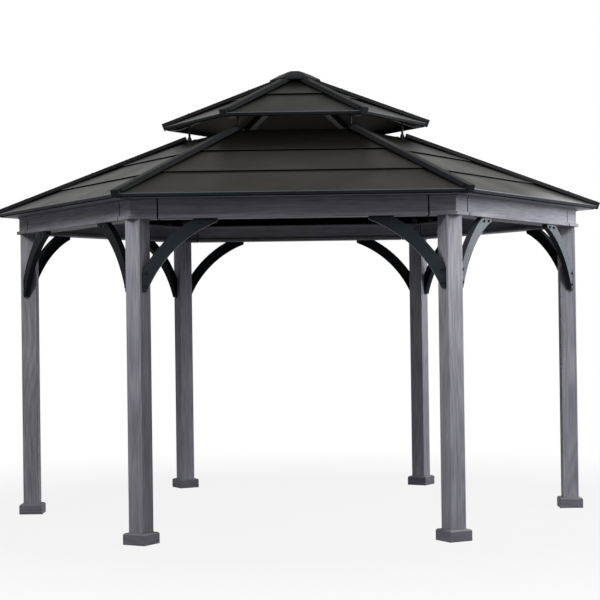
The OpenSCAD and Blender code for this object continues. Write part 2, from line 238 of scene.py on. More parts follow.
# Materials
class Finish:
    """One procedural material: its shader and short ways to add the nodes in front of it."""

    def __init__(self, name):
        self.material = bpy.data.materials.new(name)
        self.material.use_nodes = True
        self.nodes = self.material.node_tree.nodes
        self.links = self.material.node_tree.links
        self.shader = self.nodes["Principled BSDF"]
        self.coords = self.nodes.new("ShaderNodeTexCoord").outputs["Object"]

    def mapping(self, turn=(0, 0, 0), figure=(1, 1, 1), shift=(0, 0, 0)):
        """Coordinates turned with the piece and measured in figures of this size in metres."""
        node = self.nodes.new("ShaderNodeMapping")
        node.vector_type = "TEXTURE"
        node.inputs["Location"].default_value = shift
        node.inputs["Rotation"].default_value = turn
        node.inputs["Scale"].default_value = figure
        self.links.new(self.coords, node.inputs["Vector"])
        return node.outputs["Vector"]

    def noise(self, place, detail=2.0, rough=0.5, bend=0.0):
        """Soft noise whose features are about one unit of these coordinates wide."""
        node = self.nodes.new("ShaderNodeTexNoise")
        node.inputs["Scale"].default_value = 1.0
        node.inputs["Detail"].default_value = detail
        node.inputs["Roughness"].default_value = rough
        node.inputs["Distortion"].default_value = bend
        self.links.new(place, node.inputs["Vector"])
        return node.outputs["Fac"]

    def reckon(self, kind, first, second):
        """One step of arithmetic between sockets or plain numbers."""
        node = self.nodes.new("ShaderNodeMath")
        node.operation = kind
        for socket, value in zip(node.inputs, (first, second)):
            if isinstance(value, (int, float)):
                socket.default_value = value
            else:
                self.links.new(value, socket)
        return node.outputs["Value"]

    def stretch(self, value, low, high, to_low, to_high):
        """A value moved from one range onto another, and kept within it."""
        node = self.nodes.new("ShaderNodeMapRange")
        node.inputs["From Min"].default_value = low
        node.inputs["From Max"].default_value = high
        node.inputs["To Min"].default_value = to_low
        node.inputs["To Max"].default_value = to_high
        self.links.new(value, node.inputs["Value"])
        return node.outputs["Result"]

    def ramp(self, value, stops):
        """A value turned into a colour between these stops."""
        node = self.nodes.new("ShaderNodeValToRGB")
        while len(node.color_ramp.elements) < len(stops):
            node.color_ramp.elements.new(0.5)
        for element, (place, colour) in zip(node.color_ramp.elements, stops):
            element.position = place
            element.color = (*colour, 1)
        self.links.new(value, node.inputs["Fac"])
        return node.outputs["Color"]

    def bump(self, height, strength, distance):
        """Relief of the surface, with its height counted in units of this distance."""
        node = self.nodes.new("ShaderNodeBump")
        node.inputs["Strength"].default_value = strength
        node.inputs["Distance"].default_value = distance
        self.links.new(height, node.inputs["Height"])
        self.links.new(node.outputs["Normal"], self.shader.inputs["Normal"])

    def colour(self, socket):
        self.links.new(socket, self.shader.inputs["Base Color"])

    def roughness(self, socket):
        self.links.new(socket, self.shader.inputs["Roughness"])

    def gloss(self, level):
        self.shader.inputs["Specular IOR Level"].default_value = level


# Stained wood: shades, sizes of its figures along and across the grain, and how far each moves the tone
WOOD_DARK = (0.132, 0.129, 0.143)
WOOD_MID = (0.224, 0.222, 0.256)
WOOD_PALE = (0.326, 0.321, 0.352)
WOOD_STOPS = (0.15, 0.5, 0.85)
RING_FIGURE = (1.7, 0.16, 0.16)
FIBRE_FIGURE = (0.45, 0.011, 0.011)
PORE_FIGURE = (0.12, 0.006, 0.006)
PATCH_FIGURE = (0.5, 0.22, 0.22)
RING_COUNT = 13.0
STRAND_SWING = 0.10
PATCH_SWING = 0.14
WOOD_ROUGH_DARK = 0.66
WOOD_ROUGH_PALE = 0.54
WOOD_GLOSS = 0.08
WOOD_RELIEF = 0.002
WOOD_RELIEF_SHARE = 0.25
NOISE_SPAN = (0.3, 0.7)


def stained_wood(name, turn, shift, depth=1.0, bold=0.09):
    """Grey-stained timber whose grain runs along the first axis of the turned coordinates."""
    finish = Finish(name)
    board = finish.mapping(turn, RING_FIGURE, shift)
    fibre = finish.mapping(turn, FIBRE_FIGURE, shift)
    pore = finish.mapping(turn, PORE_FIGURE, shift)
    patch = finish.mapping(turn, PATCH_FIGURE, shift)
    rings = finish.reckon("MULTIPLY", finish.noise(board, detail=1.5, rough=0.4, bend=0.3), RING_COUNT)
    lines = finish.reckon("PINGPONG", rings, 0.5)
    figure = finish.stretch(lines, 0.0, 0.5, -bold, bold)
    broad = finish.stretch(finish.noise(fibre), *NOISE_SPAN, -STRAND_SWING, STRAND_SWING)
    fine = finish.stretch(finish.noise(pore, detail=1.0), *NOISE_SPAN, -STRAND_SWING, STRAND_SWING)
    strands = finish.reckon("ADD", broad, fine)
    cloud = finish.stretch(finish.noise(patch), *NOISE_SPAN, -PATCH_SWING, PATCH_SWING)
    tone = finish.reckon("ADD", finish.reckon("ADD", figure, strands), finish.reckon("ADD", cloud, 0.5))
    shades = [tuple(depth * level for level in shade) for shade in (WOOD_DARK, WOOD_MID, WOOD_PALE)]
    finish.colour(finish.ramp(tone, list(zip(WOOD_STOPS, shades))))
    finish.roughness(finish.stretch(tone, 0.2, 0.8, WOOD_ROUGH_DARK, WOOD_ROUGH_PALE))
    finish.gloss(WOOD_GLOSS)
    finish.bump(finish.reckon("ADD", figure, strands), WOOD_RELIEF_SHARE, WOOD_RELIEF)
    return finish.material


# Grain of each direction in the plan; the plates under the beams and the collars are darker
POST_SHIFT = (0.13, 0.07, 0.4)
BEAM_SHIFT = (0.31, 0.17, 0.05)
PLATE_SHIFT = (0.23, 0.05, 0.11)
COLLAR_SHIFT = (0.11, 0.07, 0.02)
PLATE_DEPTH = 0.77
COLLAR_DEPTH = 0.61
BEAM_BOLD = 0.06
WOOD_UP = stained_wood("wood_upright", (0, -math.pi / 2, 0), POST_SHIFT)
BEAM_WOOD = {}
PLATE_WOOD = {}
COLLAR_WOOD = {}
for degrees in range(0, HALF_CIRCLE, STEP_DEGREES // 2):
    turn = (0, 0, math.radians(degrees))
    if degrees % STEP_DEGREES == 0:
        BEAM_WOOD[degrees] = stained_wood(f"wood_beam_{degrees}", turn, BEAM_SHIFT, bold=BEAM_BOLD)
        PLATE_WOOD[degrees] = stained_wood(f"wood_plate_{degrees}", turn, PLATE_SHIFT,
                                           depth=PLATE_DEPTH, bold=BEAM_BOLD)
    COLLAR_WOOD[degrees] = stained_wood(f"wood_collar_{degrees}", turn, COLLAR_SHIFT, depth=COLLAR_DEPTH)


def grain(steps, further=0):
    """Direction of the grain this many sides round and so many degrees further, within half a turn."""
    return (steps * STEP_DEGREES + further) % HALF_CIRCLE


# Coated steel: sizes of the clouding and of the tooth of the coat, and how much of the bump is tooth
CLOUD_FIGURE = (0.45, 0.45, 0.3)
TOOTH_FIGURE = (0.004, 0.004, 0.004)
TOOTH_SWING = 0.1
TOOTH_RELIEF = 0.02
ROUGH_SWING = 0.05


def coated_steel(name, dark, pale, rough, gloss, dent, dent_size, sheen_tint=(1, 1, 1)):
    """Painted sheet: fine tooth of the coat, slight clouding, and shallow waves in the metal."""
    finish = Finish(name)
    cloud = finish.noise(finish.mapping(figure=CLOUD_FIGURE), detail=3.0, rough=0.55)
    tooth = finish.noise(finish.mapping(figure=TOOTH_FIGURE), detail=1.0)
    wave = finish.noise(finish.mapping(figure=(dent_size, dent_size, dent_size)), detail=1.0, rough=0.4)
    clouding = finish.stretch(cloud, *NOISE_SPAN, 0.1, 0.9)
    tone = finish.reckon("ADD", clouding, finish.stretch(tooth, *NOISE_SPAN, -TOOTH_SWING, TOOTH_SWING))
    finish.colour(finish.ramp(tone, ((0.0, dark), (1.0, pale))))
    finish.roughness(finish.stretch(tone, 0.0, 1.0, rough + ROUGH_SWING, rough - ROUGH_SWING))
    finish.gloss(gloss)
    finish.shader.inputs["Specular Tint"].default_value = (*sheen_tint, 1)
    finish.bump(finish.reckon("ADD", wave, finish.reckon("MULTIPLY", tooth, TOOTH_RELIEF)), 1.0, dent)
    return finish.material


ROOF_PAINT = coated_steel("roof_paint", dark=(0.0082, 0.0077, 0.0067), pale=(0.011, 0.0104, 0.0091),
                          rough=0.385, gloss=0.029, dent=0.0022, dent_size=0.3,
                          sheen_tint=(1.0, 0.97, 0.92))
# Near-black matte paint used as painted shade: lap folds, trim toes, feet of the hip caps, open beam
# joints
PAINTED_SHADE = coated_steel("painted_shade", dark=(0.0015, 0.0015, 0.0014), pale=(0.0025, 0.0024, 0.0023),
                          rough=0.75, gloss=0.0, dent=0.0004, dent_size=0.2)
# Lighter, glossier paint on the rounded bends of the laps; its lighter colour is a painted highlight
FOLD_HIGHLIGHT = coated_steel("painted_fold_highlight", dark=(0.012, 0.0115, 0.0105), pale=(0.017, 0.016, 0.015),
                          rough=0.3, gloss=0.12, dent=0.0004, dent_size=0.2)
SOFFIT_PAINT = coated_steel("soffit_paint", dark=(0.040, 0.038, 0.034), pale=(0.054, 0.051, 0.046),
                            rough=0.6, gloss=0.03, dent=0.0008, dent_size=0.3)
TRIM_PAINT = coated_steel("trim_paint", dark=(0.0215, 0.023, 0.0262), pale=(0.030, 0.0322, 0.037),
                          rough=0.45, gloss=0.012, dent=0.0006, dent_size=0.2)
# Lighter, glossier paint on the rounded top edge of the trims; its lighter colour is a painted highlight
EDGE_HIGHLIGHT = coated_steel("painted_edge_highlight", dark=(0.042, 0.046, 0.053), pale=(0.058, 0.063, 0.072),
                          rough=0.34, gloss=0.22, dent=0.0002, dent_size=0.1)
CAP_PAINT = coated_steel("cap_paint", dark=(0.0108, 0.0113, 0.0121), pale=(0.0148, 0.0154, 0.0165),
                         rough=0.42, gloss=0.012, dent=0.0008, dent_size=0.15)
BRACE_COAT = coated_steel("brace_coat", dark=(0.018, 0.0208, 0.0246), pale=(0.025, 0.0288, 0.034),
                          rough=0.36, gloss=0.010, dent=0.0003, dent_size=0.12)
FRAME_COAT = coated_steel("frame_coat", dark=(0.009, 0.009, 0.0095), pale=(0.014, 0.014, 0.015),
                          rough=0.5, gloss=0.3, dent=0.0004, dent_size=0.15)
BOLT_BLACK = coated_steel("bolt_black", dark=(0.006, 0.006, 0.0065), pale=(0.010, 0.010, 0.011),
                          rough=0.42, gloss=0.12, dent=0.0001, dent_size=0.03)


# Ways of shaping a mesh
def whole(bm):
    """All that a shape is made of, for an operator."""
    return bm.verts[:] + bm.edges[:] + bm.faces[:]


def only_verts(found):
    """The points among what an operator has made."""
    return [item for item in found if isinstance(item, bmesh.types.BMVert)]


def run_along_side(outline, start, end):
    """A closed outline of (distance out, height) points, run along the side that faces -Y."""
    bm = bmesh.new()
    first = bm.faces.new([bm.verts.new((start, -out, height)) for out, height in outline])
    grown = bmesh.ops.extrude_face_region(bm, geom=[first])["geom"]
    bmesh.ops.translate(bm, verts=only_verts(grown), vec=(end - start, 0, 0))
    bmesh.ops.recalc_face_normals(bm, faces=bm.faces)
    return bm


def cut(bm, place, outward, close=True):
    """Takes off what lies beyond a plane and closes the cut."""
    made = bmesh.ops.bisect_plane(bm, geom=whole(bm), dist=TINY, plane_co=place, plane_no=outward,
                                  clear_outer=True)
    rim = [item for item in made["geom_cut"] if isinstance(item, bmesh.types.BMEdge)]
    if close and rim:
        bmesh.ops.edgeloop_fill(bm, edges=rim)


def cut_at_hips(bm, gap):
    """Ends a piece of the side facing -Y at this distance from both of its hips."""
    for hand in (1, -1):
        outward = Vector((hand * ACROSS, math.sin(HALF_TURN), 0))
        cut(bm, -outward * gap, outward)


def ease(bm, edges, width, steps=2):
    """Rounds these edges and gives back the faces of the rounds."""
    made = bmesh.ops.bevel(bm, geom=list(edges), offset=width, offset_type="OFFSET", segments=steps,
                           profile=0.5, affect="EDGES", material=-1)
    return made["faces"]


def corner_edges(bm, least=25):
    """Edges at which two faces meet at more than this many degrees."""
    bm.normal_update()
    return [e for e in bm.edges if len(e.link_faces) == 2 and e.calc_face_angle() > math.radians(least)]


def edges_at(bm, out, height):
    """Edges along the side facing -Y that run at this distance out and height."""
    found = []
    for edge in bm.edges:
        if all(abs(v.co.y + out) < SAME and abs(v.co.z - height) < SAME for v in edge.verts):
            found.append(edge)
    return found


def join_in(bm, other):
    """Moves another shape into this one as loose faces."""
    spare = bpy.data.meshes.new("spare")
    other.to_mesh(spare)
    other.free()
    bm.from_mesh(spare)
    bpy.data.meshes.remove(spare)


def revolved(line, axis_x, steps):
    """A line of (distance from the axis, height) points, turned once round an upright axis on +X."""
    bm = bmesh.new()
    points = [bm.verts.new((axis_x + radius, 0, height)) for radius, height in line]
    run = [bm.edges.new(pair) for pair in zip(points, points[1:])]
    bmesh.ops.spin(bm, geom=points + run, cent=(axis_x, 0, 0), axis=(0, 0, 1), dvec=(0, 0, 0),
                   angle=math.tau, steps=steps, use_merge=True)
    bmesh.ops.remove_doubles(bm, verts=bm.verts, dist=SAME)
    return bm


def turned(bm, steps):
    """Turns a shape round the centre by this many sides."""
    bmesh.ops.rotate(bm, verts=bm.verts, cent=(0, 0, 0), matrix=Matrix.Rotation(steps * TURN, 3, "Z"))


def all_round(bm):
    """Repeats a shape at each of the six sides or corners."""
    bmesh.ops.spin(bm, geom=whole(bm), cent=(0, 0, 0), axis=(0, 0, 1), dvec=(0, 0, 0),
                   angle=TURN * (SIDES - 1), steps=SIDES - 1, use_duplicate=True)


def new_piece(bm, name, slot, finishes, *nodes):
    """Makes an object of the shape, gives it its finishes, and lets it stand for these nodes."""
    bmesh.ops.recalc_face_normals(bm, faces=bm.faces)
    mesh = bpy.data.meshes.new(name)
    bm.to_mesh(mesh)
    bm.free()
    for finish in finishes:
        mesh.materials.append(finish)
    mesh.shade_smooth()
    mesh.set_sharp_from_angle(angle=SHARP_BEND)
    piece = bpy.data.objects.new(name, mesh)
    bpy.context.collection.objects.link(piece)
    shading = piece.modifiers.new("even_shading", "WEIGHTED_NORMAL")
    shading.keep_sharp = True
    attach(piece, "root")
    if nodes:
        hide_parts(*nodes)


# Posts and their collars
def post(corner):
    """Square post with eased corners."""
    bm = bmesh.new()
    place = Matrix.Rotation(corner * TURN, 4, "Z") @ Matrix.Translation((POST_R, 0, POST_H / 2))
    bmesh.ops.create_cube(bm, size=1, matrix=place @ Matrix.Diagonal((POST_W, POST_W, POST_H, 1)))
    upright = [e for e in bm.edges if abs(e.verts[0].co.z - e.verts[1].co.z) > POST_H / 2]
    ease(bm, upright, POST_EASE, 3)
    return bm


def collar(corner):
    """Square collar at the foot of a post: a hollow frame with a chamfered top."""
    outer = COLLAR_W / 2
    inner = POST_W / 2 + COLLAR_CLEAR
    section = [(inner, 0), (outer, 0), (outer, COLLAR_H - COLLAR_CHAMFER),
               (outer - COLLAR_CHAMFER, COLLAR_H), (inner, COLLAR_H)]
    bm = bmesh.new()
    points = [bm.verts.new((reach, reach, height)) for reach, height in section]
    ring = [bm.edges.new((a, b)) for a, b in zip(points, points[1:] + points[:1])]
    bmesh.ops.spin(bm, geom=points + ring, cent=(0, 0, 0), axis=(0, 0, 1), dvec=(0, 0, 0),
                   angle=math.tau, steps=4, use_merge=True)
    bmesh.ops.remove_doubles(bm, verts=bm.verts, dist=SAME)
    bmesh.ops.recalc_face_normals(bm, faces=bm.faces)
    off_ground = [e for e in corner_edges(bm, 40) if max(v.co.z for v in e.verts) > SAME]
    ease(bm, off_ground, COLLAR_EASE)
    bm.normal_update()
    for face in bm.faces:
        face.material_index = 1 if abs(face.normal.y) > abs(face.normal.x) else 0
    place = Matrix.Rotation(corner * TURN, 4, "Z") @ Matrix.Translation((POST_R, 0, 0))
    bmesh.ops.transform(bm, matrix=place, verts=bm.verts)
    return bm


for corner in range(SIDES):
    number = corner + 1
    new_piece(post(corner), f"timber_post_{number}", "stained_wood", [WOOD_UP], f"post_{number}")
    boards = [COLLAR_WOOD[grain(corner, HALF_CIRCLE // 2)], COLLAR_WOOD[grain(corner)]]
    new_piece(collar(corner), f"collar_{number}", "stained_wood", boards, f"base_{number}")


# Ring beam: six spans and six corner blocks of one section
BEAM_OUTLINE = [
    (POST_LINE - PLATE_HALF, POST_H), (POST_LINE + PLATE_HALF, POST_H),
    (POST_LINE + PLATE_HALF, CORE_Z), (POST_LINE + CORE_HALF, CORE_Z),
    (POST_LINE + CORE_HALF, CROWN_Z), (POST_LINE + CROWN_OUT, CROWN_Z),
    (POST_LINE + CROWN_OUT, BEAM_TOP), (POST_LINE - PLATE_HALF, BEAM_TOP),
    (POST_LINE - PLATE_HALF, CROWN_Z), (POST_LINE - CORE_HALF, CROWN_Z),
    (POST_LINE - CORE_HALF, CORE_Z), (POST_LINE - PLATE_HALF, CORE_Z),
]
TONGUE_HALF = CORE_HALF - TONGUE_INSET
TONGUE_LOW = POST_H + TONGUE_INSET
TONGUE_HIGH = BEAM_TOP - TONGUE_INSET
TONGUE_OUTLINE = [
    (POST_LINE - TONGUE_HALF, TONGUE_LOW), (POST_LINE + TONGUE_HALF, TONGUE_LOW),
    (POST_LINE + TONGUE_HALF, TONGUE_HIGH), (POST_LINE - TONGUE_HALF, TONGUE_HIGH),
]
BEAM_JOINT_SHADE, BEAM_PLATE = 1, 2
FIRST_LEG, SECOND_LEG, LEG_JOINT_SHADE, FIRST_PLATE, SECOND_PLATE = range(5)


def beam(side):
    """One span: ends at the open joints painted with shade, and a darker plate below."""
    bm = run_along_side(BEAM_OUTLINE, -BEAM_HALF, BEAM_HALF)
    ease(bm, corner_edges(bm), WOOD_EASE)
    for face in bm.faces:
        middle = face.calc_center_median()
        # Painted shade on the ends and their rounds at the open joints
        if abs(middle.x) > BEAM_HALF - WOOD_EASE / 2:
            face.material_index = BEAM_JOINT_SHADE
        elif middle.z < CORE_Z + WOOD_EASE / 2:
            face.material_index = BEAM_PLATE
    turned(bm, side)
    return bm


def corner_block(corner):
    """Two mitred legs over a post; a tongue spans each open joint out of sight, and the joints carry
    painted shade.
    """
    bm = run_along_side(BEAM_OUTLINE, JOINT_S, JOINT_S + CORNER_LEG_ROUGH)
    cut(bm, (0, 0, 0), (ACROSS, math.sin(HALF_TURN), 0), close=False)
    turned(bm, 1)
    bmesh.ops.mirror(bm, geom=whole(bm), matrix=Matrix.Identity(4), merge_dist=NEAR, axis="Y")
    bmesh.ops.recalc_face_normals(bm, faces=bm.faces)
    ease(bm, corner_edges(bm), WOOD_EASE)
    for steps, start, end in ((1, BEAM_HALF, JOINT_S), (2, -JOINT_S, -BEAM_HALF)):
        tongue = run_along_side(TONGUE_OUTLINE, start, end)
        turned(tongue, steps)
        join_in(bm, tongue)
    for face in bm.faces:
        middle = face.calc_center_median()
        along = math.sin(HALF_TURN) * middle.x - ACROSS * abs(middle.y)
        # Painted shade on the tongues and the leg ends at the open joints
        if along < JOINT_S + WOOD_EASE / 2:
            face.material_index = LEG_JOINT_SHADE
        elif middle.z < CORE_Z + WOOD_EASE / 2:
            face.material_index = SECOND_PLATE if middle.y > 0 else FIRST_PLATE
        else:
            face.material_index = SECOND_LEG if middle.y > 0 else FIRST_LEG
    turned(bm, corner)
    return bm


for side in range(SIDES):
    number = side + 1
    along, first, second = (grain(side + step) for step in range(3))
    boards = [BEAM_WOOD[along], PAINTED_SHADE, PLATE_WOOD[along]]
    new_piece(beam(side), f"ring_beam_{number}", "stained_wood", boards, f"beam_{number}")
    legs = [BEAM_WOOD[first], BEAM_WOOD[second], PAINTED_SHADE, PLATE_WOOD[first], PLATE_WOOD[second]]
    new_piece(corner_block(side), f"corner_block_{number}", "stained_wood", legs, f"corner_{number}")


# Eave boards: they lie on the beams and close the gap behind the trim
def eave_board(side):
    """Thin board from just inside the middle of the beam out to the back of the trim."""
    inner = POST_LINE - EAVE_BOARD_LAP
    outer = EAVE_A - TRIM_LEAN - 2 * TRIM_T - EAVE_BOARD_CLEAR
    top = BEAM_TOP + EAVE_BOARD_T
    outline = [(inner, BEAM_TOP), (outer, BEAM_TOP), (outer, top), (inner, top)]
    bm = run_along_side(outline, -EAVE_A, EAVE_A)
    cut_at_hips(bm, EAVE_BOARD_GAP)
    ease(bm, corner_edges(bm), EAVE_BOARD_EASE, 1)
    turned(bm, side)
    return bm


for side in range(SIDES):
    new_piece(eave_board(side), f"eave_board_{side + 1}", "stained_wood", [BEAM_WOOD[grain(side)]])


# Knee braces: curved channels with a smooth web outside and rims turned inwards
CHORD = (BRACE_REACH - BRACE_TIP) * math.sqrt(2)
BEND_R = (CHORD ** 2 / 4 + BRACE_BOW ** 2) / (2 * BRACE_BOW)
BEND_AT = (BRACE_REACH + BRACE_TIP) / 2 + (BEND_R - BRACE_BOW) * math.sqrt(0.5)
HEEL_X = -POST_R / 2 + (POST_W / 2 - BRACE_OUT * math.sin(HALF_TURN)) / ACROSS
WEB_Y = -POST_LINE - BRACE_OUT
TIP_X = HEEL_X + BRACE_REACH
FOOT_Z = POST_H - BRACE_REACH + BRACE_FOOT_CUT
BEND_CENTRE = Vector((HEEL_X + BEND_AT, 0, POST_H - BEND_AT))


def bent_bar():
    """Solid bar on a circle, cut to the beam and the post, upright at the tip and level at the foot."""
    bm = bmesh.new()
    rim_y = WEB_Y + BRACE_DEPTH
    outer_r = BEND_R + BRACE_BAND
    rims = ((BEND_R, WEB_Y), (BEND_R, rim_y), (outer_r, rim_y), (outer_r, WEB_Y))
    band = bm.faces.new([bm.verts.new((BEND_CENTRE.x, y, BEND_CENTRE.z + r)) for r, y in rims])
    bmesh.ops.rotate(bm, verts=bm.verts, cent=BEND_CENTRE, matrix=Matrix.Rotation(BEND_START, 3, "Y"))
    bmesh.ops.spin(bm, geom=[band] + band.edges[:] + band.verts[:], cent=BEND_CENTRE, axis=(0, -1, 0),
                   dvec=(0, 0, 0), angle=BEND_SWEEP, steps=BEND_STEPS)
    post_face = Vector((math.cos(-HALF_TURN), math.sin(-HALF_TURN), 0))
    post_middle = Vector((-POST_R / 2, -POST_LINE, 0))
    cut(bm, (0, 0, POST_H), (0, 0, 1))
    cut(bm, (TIP_X, 0, 0), (1, 0, 0))
    cut(bm, (0, 0, FOOT_Z), (0, 0, -1))
    cut(bm, post_middle + post_face * POST_W / 2, -post_face)
    bmesh.ops.recalc_face_normals(bm, faces=bm.faces)
    for facing in (-1, 1):
        flat = [f for f in bm.faces if f.normal.y * facing > SQUARELY]
        bmesh.ops.dissolve_faces(bm, faces=flat, use_verts=False)
    return bm


def round_brace(bm):
    """Rounds the free corners at the tip and the foot, and the rim of the smooth web."""
    across = [e for e in bm.edges if abs(e.verts[0].co.y - e.verts[1].co.y) > BRACE_DEPTH * MOSTLY]
    tip = min((e for e in across if e.verts[0].co.x > TIP_X - NEAR), key=lambda e: e.verts[0].co.z)
    foot = max((e for e in across if e.verts[0].co.z < FOOT_Z + NEAR), key=lambda e: e.verts[0].co.x)
    ease(bm, [tip], TIP_ROUND, 5)
    ease(bm, [foot], FOOT_ROUND, 4)
    bm.normal_update()
    web = [f for f in bm.faces if f.normal.y < -SQUARELY]
    ease(bm, {e for f in web for e in f.edges}, WEB_EASE)
    bm.normal_update()


def hollow_brace(bm):
    """Sinks a pocket into the inner side, down to where the foot stays solid."""
    down = Vector((-math.sin(POCKET_END), 0, math.cos(POCKET_END)))
    back = [f for f in bm.faces if f.normal.y > SQUARELY]
    rim = list({e for f in back for e in f.edges}) + list({v for f in back for v in f.verts})
    bmesh.ops.bisect_plane(bm, geom=back + rim, dist=TINY, plane_co=BEND_CENTRE, plane_no=down)
    bm.normal_update()
    back = [f for f in bm.faces if f.normal.y > SQUARELY]
    pocket = [f for f in back if (f.calc_center_median() - BEND_CENTRE).dot(down) < 0]
    bmesh.ops.inset_region(bm, faces=pocket, thickness=BRACE_T, use_boundary=True, use_even_offset=True)
    pocket += list({e for f in pocket for e in f.edges}) + list({v for f in pocket for v in f.verts})
    grown = bmesh.ops.extrude_face_region(bm, geom=pocket)["geom"]
    bmesh.ops.translate(bm, verts=only_verts(grown), vec=(0, BRACE_T - BRACE_DEPTH, 0))


def brace_pair(side):
    """Both braces of a bay."""
    bm = bent_bar()
    round_brace(bm)
    hollow_brace(bm)
    bmesh.ops.mirror(bm, geom=whole(bm), matrix=Matrix.Identity(4), merge_dist=-1, axis="X")
    turned(bm, side)
    return bm


def bolt(bm, x, drop):
    """Hexagon head on a round washer, on the outer face of a brace of the side facing -Y."""
    facing = Matrix.Rotation(math.pi / 2, 4, "X")
    washer = (WASHER_STEPS, WASHER_R, WASHER_TOP_R, 0, WASHER_T)
    head = (BOLT_SIDES, BOLT_R, BOLT_TOP_R, WASHER_T, BOLT_H)
    for sides, foot, top, start, height in (washer, head):
        place = Matrix.Translation((x, WEB_Y - start - height / 2, POST_H - drop)) @ facing
        spin = Matrix.Rotation(chance.uniform(0, TURN), 4, "Z")
        bmesh.ops.create_cone(bm, cap_ends=True, segments=sides, radius1=foot, radius2=top, depth=height,
                              matrix=place @ spin)


def bay_bolts(side):
    """Two bolts at the foot and two at the tip of both braces of a bay."""
    bm = bmesh.new()
    for hand in (1, -1):
        for inset, drop in FOOT_BOLTS:
            bolt(bm, hand * (HEEL_X + inset), drop)
        for inset, drop in TIP_BOLTS:
            bolt(bm, hand * (TIP_X - inset), drop)
    turned(bm, side)
    return bm


for side in range(SIDES):
    number = side + 1
    new_piece(brace_pair(side), f"knee_braces_{number}", "brace_steel", [BRACE_COAT], f"braces_{number}")
    new_piece(bay_bolts(side), f"bolts_{number}", "brace_steel", [BOLT_BLACK])


# Roof sheets: lapped courses whose lower edges are folded down onto the course below
SHEET_FINISHES = [ROOF_PAINT, PAINTED_SHADE, FOLD_HIGHLIGHT, SOFFIT_PAINT]
# Drop faces of the folds carry painted shade, and their rounded bends a painted highlight
SHEET_FOLD_SHADE, SHEET_BEND_HIGHLIGHT, SHEET_UNDER = 1, 2, 3
TRIM_FINISHES = [TRIM_PAINT, EDGE_HIGHLIGHT, PAINTED_SHADE]
UPPER_TRIM_FINISHES = [CAP_PAINT, EDGE_HIGHLIGHT, PAINTED_SHADE]
# The top edges of the trims carry a painted highlight, and their toes painted shade
TRIM_EDGE_HIGHLIGHT, TRIM_TOE_SHADE = 1, 2


def roof_z(top, out):
    """Level of the plain roof face this far out from the centre, under an apex at this level."""
    return top - FACE_SLOPE * out


def course_z(top, out, low, high):
    """Level of a course that sinks by the lap towards its upper edge."""
    return roof_z(top, out) - LAP_STEP * (high - out) / (high - low)


def course(top, low, high, below=None):
    """One course between two distances out; its lower edge is tilted up by the lap."""
    edge_z = course_z(top, high, low, high)
    outline = [(low, course_z(top, low, low, high)), (high, edge_z)]
    if below:
        foot_z = course_z(top, high, *below)
        outline += [(high, foot_z), (high - SHEET_T, foot_z + FACE_SLOPE * SHEET_T)]
        outline += [(high - SHEET_T, course_z(top, high - SHEET_T, low, high) - SHEET_V)]
    else:
        outline += [(high, edge_z - SHEET_V)]
    outline += [(low, course_z(top, low, low, high) - SHEET_V)]
    bm = run_along_side(outline, -high, high)
    for face in bm.faces:
        if face.normal.z < -PARTLY:
            face.material_index = SHEET_UNDER
        # The drop faces of the folds get painted shade
        elif below and face.normal.y < -MOSTLY:
            face.material_index = SHEET_FOLD_SHADE
    # The rounded bends of the folds get a painted highlight
    if below:
        for face in ease(bm, edges_at(bm, high, edge_z), FOLD_ROUND):
            face.material_index = SHEET_BEND_HIGHLIGHT
    cut_at_hips(bm, HIP_GAP)
    all_round(bm)
    return bm


def eave_trim(top, edge, edge_z):
    """Folded strip along an eave: a short drop, square to the roof, and a leg back under the sheet."""
    low = edge_z - TRIM_H
    front = edge - TRIM_T
    leg = edge - TRIM_LEG
    front_z = roof_z(top, front)
    leg_z = roof_z(top, leg)
    lip_z = roof_z(top, edge) + TRIM_LIP
    toe = edge - TRIM_LEAN
    outline = [(toe, low), (edge, lip_z), (front, front_z), (front, front_z - SHEET_V),
               (leg, leg_z - SHEET_V), (leg, leg_z - 2 * SHEET_V),
               (front - TRIM_T, front_z - 2 * SHEET_V), (toe - 2 * TRIM_T, low)]
    bm = run_along_side(outline, -edge, edge)
    # Painted highlight on the rounded top edge
    for face in ease(bm, edges_at(bm, edge, lip_z), TRIM_EDGE_ROUND, 4):
        face.material_index = TRIM_EDGE_HIGHLIGHT
    # Painted shade on the rounded toe below
    for face in ease(bm, edges_at(bm, toe, low), TRIM_TOE_ROUND):
        face.material_index = TRIM_TOE_SHADE
    cut_at_hips(bm, TRIM_GAP)
    all_round(bm)
    return bm


LOWER = (SEAM_1 - LAP_RUN, EAVE_A - TRIM_T)
MIDDLE = (SEAM_2 - LAP_RUN, SEAM_1)
HIGHEST = (OPENING_A, SEAM_2)
UPPER_LOWER = (UPPER_SEAM - LAP_RUN, UPPER_EAVE_A - TRIM_T)
UPPER_HIGHEST = (UPPER_END_A, UPPER_SEAM)
low_sheet = course(APEX_Z, *LOWER)
mid_sheet = course(APEX_Z, *MIDDLE, LOWER)
top_sheet = course(APEX_Z, *HIGHEST, MIDDLE)
upper_low_sheet = course(UPPER_APEX_Z, *UPPER_LOWER)
upper_top_sheet = course(UPPER_APEX_Z, *UPPER_HIGHEST, UPPER_LOWER)
low_trim = eave_trim(APEX_Z, EAVE_A, EAVE_Z)
top_trim = eave_trim(UPPER_APEX_Z, UPPER_EAVE_A, UPPER_EAVE_Z)
new_piece(low_sheet, "sheet_low", "roof_sheet", SHEET_FINISHES, "course_low")
new_piece(mid_sheet, "sheet_mid", "roof_sheet", SHEET_FINISHES, "course_mid")
new_piece(top_sheet, "sheet_top", "roof_sheet", SHEET_FINISHES, "course_top")
new_piece(upper_low_sheet, "upper_sheet_low", "roof_sheet", SHEET_FINISHES, "upper_course_low")
new_piece(upper_top_sheet, "upper_sheet_top", "roof_sheet", SHEET_FINISHES, "upper_course_top")
